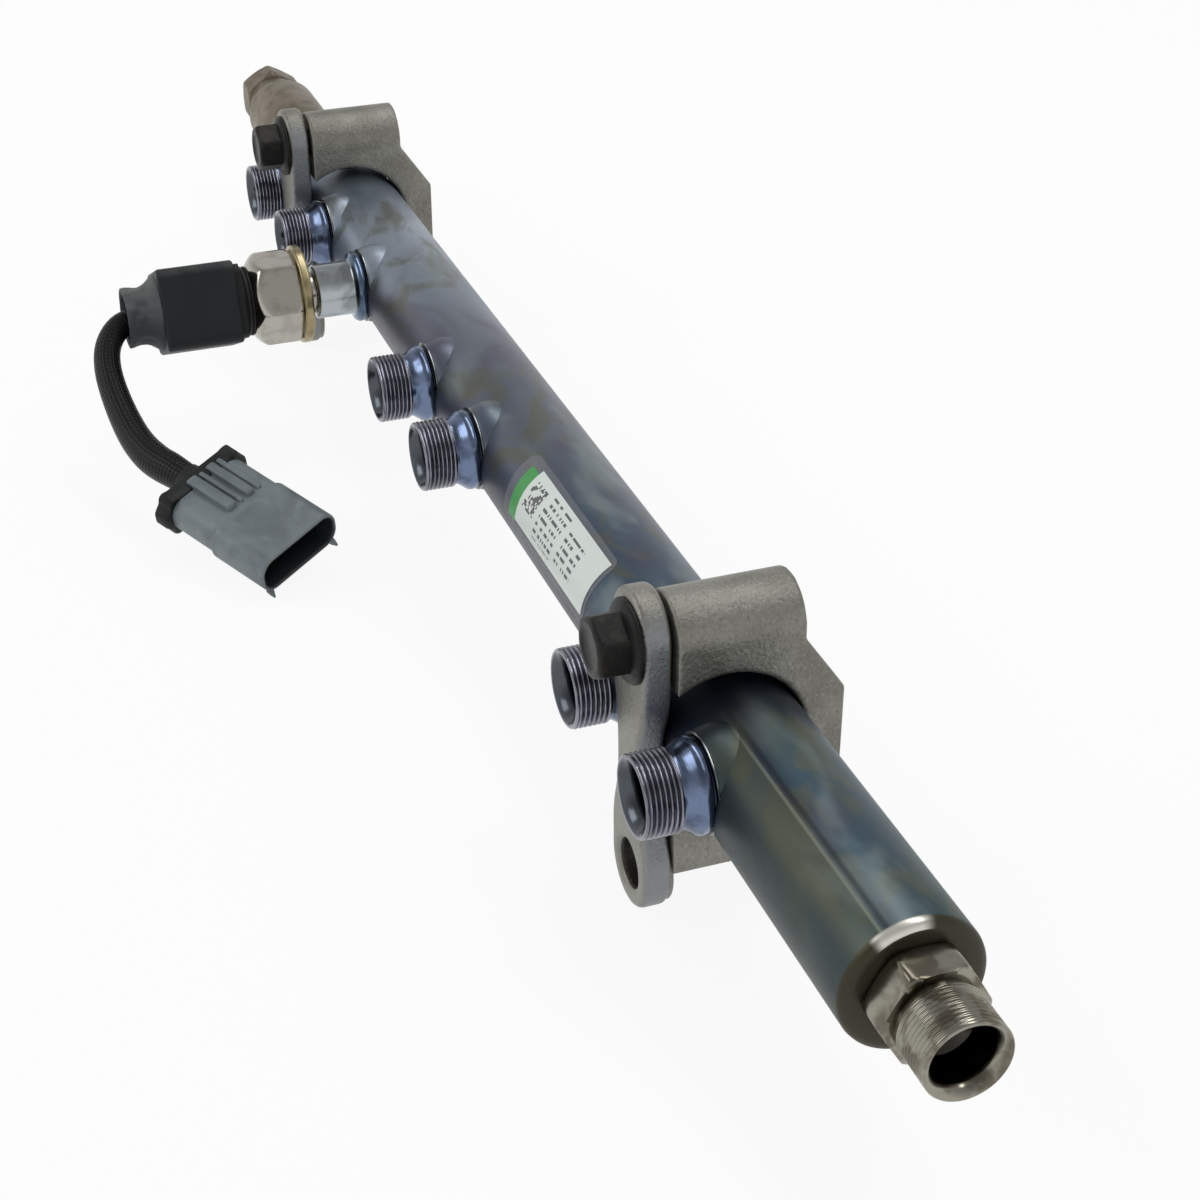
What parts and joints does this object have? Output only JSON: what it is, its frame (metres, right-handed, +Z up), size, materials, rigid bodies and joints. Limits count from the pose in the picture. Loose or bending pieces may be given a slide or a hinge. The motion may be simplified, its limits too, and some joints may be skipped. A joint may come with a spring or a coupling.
{
  "type": "common rail fuel rail",
  "caption": "Forged steel common rail for injectors, held by two cast clamps, with threaded branches, an inlet union, a relief valve and a pressure sensor on a short cable.",
  "frame": {"origin": "on the axis of the rail tube, half way between the two middle injector branches", "axes": "+X along the tube toward the inlet union, -Y the way the branches point, +Z up"},
  "size_m": [0.5545, 0.1205, 0.0784],
  "materials": {
    "rail_steel": "zinc plated with a blue and yellow passivation",
    "union_steel": "turned, nickel plated",
    "valve_steel": "turned, dull",
    "inner_steel": "ground",
    "clamp_cast": "fine cast surface, grey",
    "bolt_steel": "black phosphate",
    "sensor_plated": "nickel plated",
    "ring_brass": "yellow plated",
    "black_plastic": "fine moulded texture",
    "black_rubber": "matt",
    "cable_sleeve": "braided sleeve",
    "grey_plastic": "fine moulded texture",
    "contact_brass": "tinned brass",
    "label_film": null
  },
  "bodies": {
    "root": {"rail_tube": "rail_steel", "sensor_port": "rail_steel", "injector_port_1": "rail_steel", "injector_port_2": "rail_steel", "injector_port_3": "rail_steel", "injector_port_4": "rail_steel", "injector_port_5": "rail_steel", "injector_port_6": "rail_steel", "inlet_fitting": "union_steel", "relief_valve_body": "valve_steel", "relief_valve_cap": "valve_steel", "relief_valve_seat": "inner_steel", "relief_valve_plunger": "inner_steel", "relief_valve_spring": "inner_steel", "relief_valve_shim": "inner_steel", "clamp_bracket_far": "clamp_cast", "clamp_bracket_near": "clamp_cast", "clamp_strap_far": "clamp_cast", "clamp_strap_near": "clamp_cast", "clamp_bolt_far": "bolt_steel", "clamp_bolt_near": "bolt_steel", "sensor_body": "sensor_plated", "sensor_seal_ring": "ring_brass", "sensor_head": "black_plastic", "sensor_contacts": "contact_brass", "plug_seal": "black_rubber", "plug_housing": "black_plastic", "cable_boot": "black_rubber", "sensor_cable": "cable_sleeve", "connector_housing": "grey_plastic", "connector_retainer": "black_plastic", "connector_wire_seal": "black_rubber", "connector_pins": "contact_brass", "rail_label": "label_film"}
  },
  "joints": []
}
